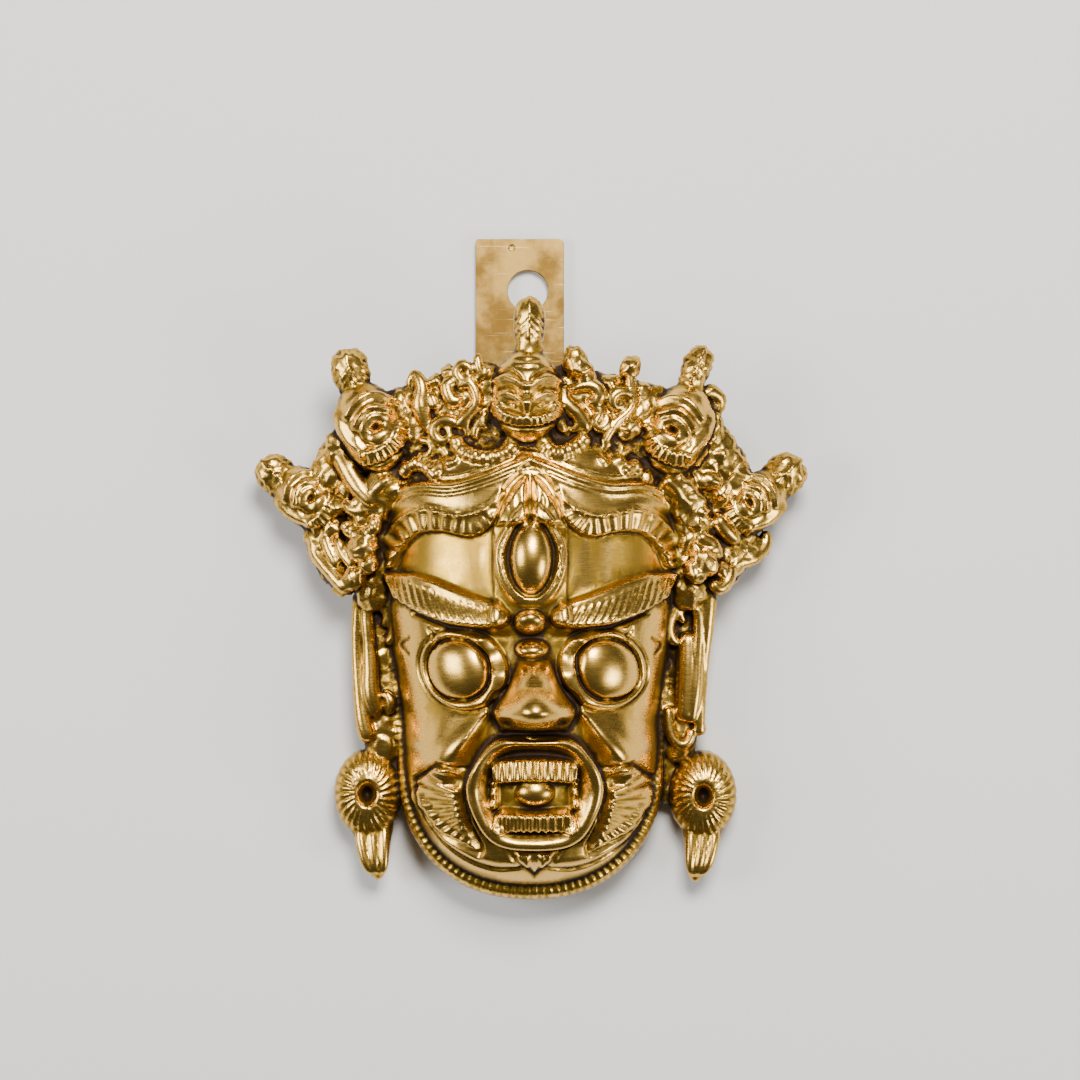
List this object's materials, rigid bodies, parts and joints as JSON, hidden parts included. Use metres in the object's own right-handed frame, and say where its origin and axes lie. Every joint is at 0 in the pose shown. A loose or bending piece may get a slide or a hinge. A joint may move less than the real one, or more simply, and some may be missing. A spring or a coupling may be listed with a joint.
{
  "type": "mahakala mask",
  "caption": "Cast brass wall mask of a wrathful three-eyed guardian face with a crown of small heads, hollow at the back, with a flat drilled hanging strip.",
  "frame": {"origin": "centre of the bounding box at the flat back, on which the mask lies", "axes": "+X to the viewer's right across the face, +Y from the chin to the crown, +Z out of the face"},
  "size_m": [0.1244, 0.149, 0.0449],
  "materials": {
    "cast_brass": "cast brass, high spots polished, ochre and dark brown patina in the recesses",
    "strip_brass": "dull sheet brass with fine scratches"
  },
  "bodies": {
    "root": {"mask": "cast_brass", "hanging_strip": "strip_brass"}
  },
  "joints": []
}
